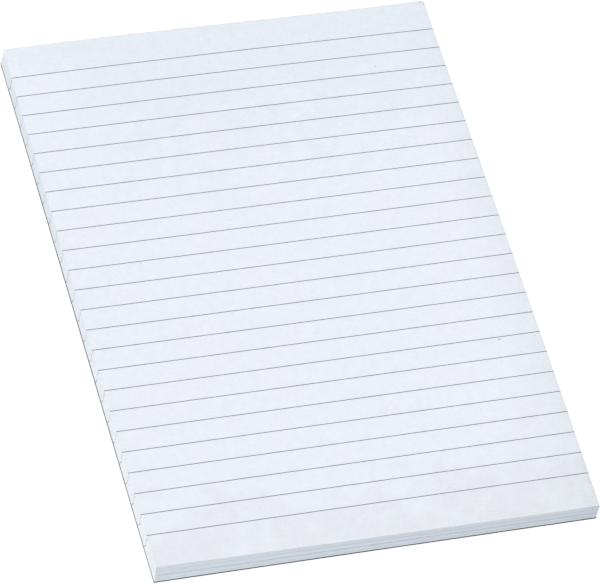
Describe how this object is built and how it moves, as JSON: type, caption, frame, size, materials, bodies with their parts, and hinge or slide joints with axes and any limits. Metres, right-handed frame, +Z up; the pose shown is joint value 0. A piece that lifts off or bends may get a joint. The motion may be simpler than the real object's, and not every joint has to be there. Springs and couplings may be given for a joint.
{
  "type": "ruled writing pad",
  "caption": "Head-glued A5 writing pad: white leaves with grey feint rules on a chipboard back, a thin flat block that lies on a desk.",
  "frame": {"origin": "middle of the underside of the backing board, on the table, with the gum film on the head counted in", "axes": "+X along the rules to the right, +Y to the glued head, +Z up out of the written face"},
  "size_m": [0.148, 0.2102, 0.0079],
  "materials": {
    "leaf_paper": "matte",
    "chipboard": "matte",
    "padding_gum": "satin",
    "ruling_ink": "matte"
  },
  "bodies": {
    "root": {"page_block": "leaf_paper", "backing_board": "chipboard", "head_gum": "padding_gum", "feint_ruling": "ruling_ink"}
  },
  "joints": []
}
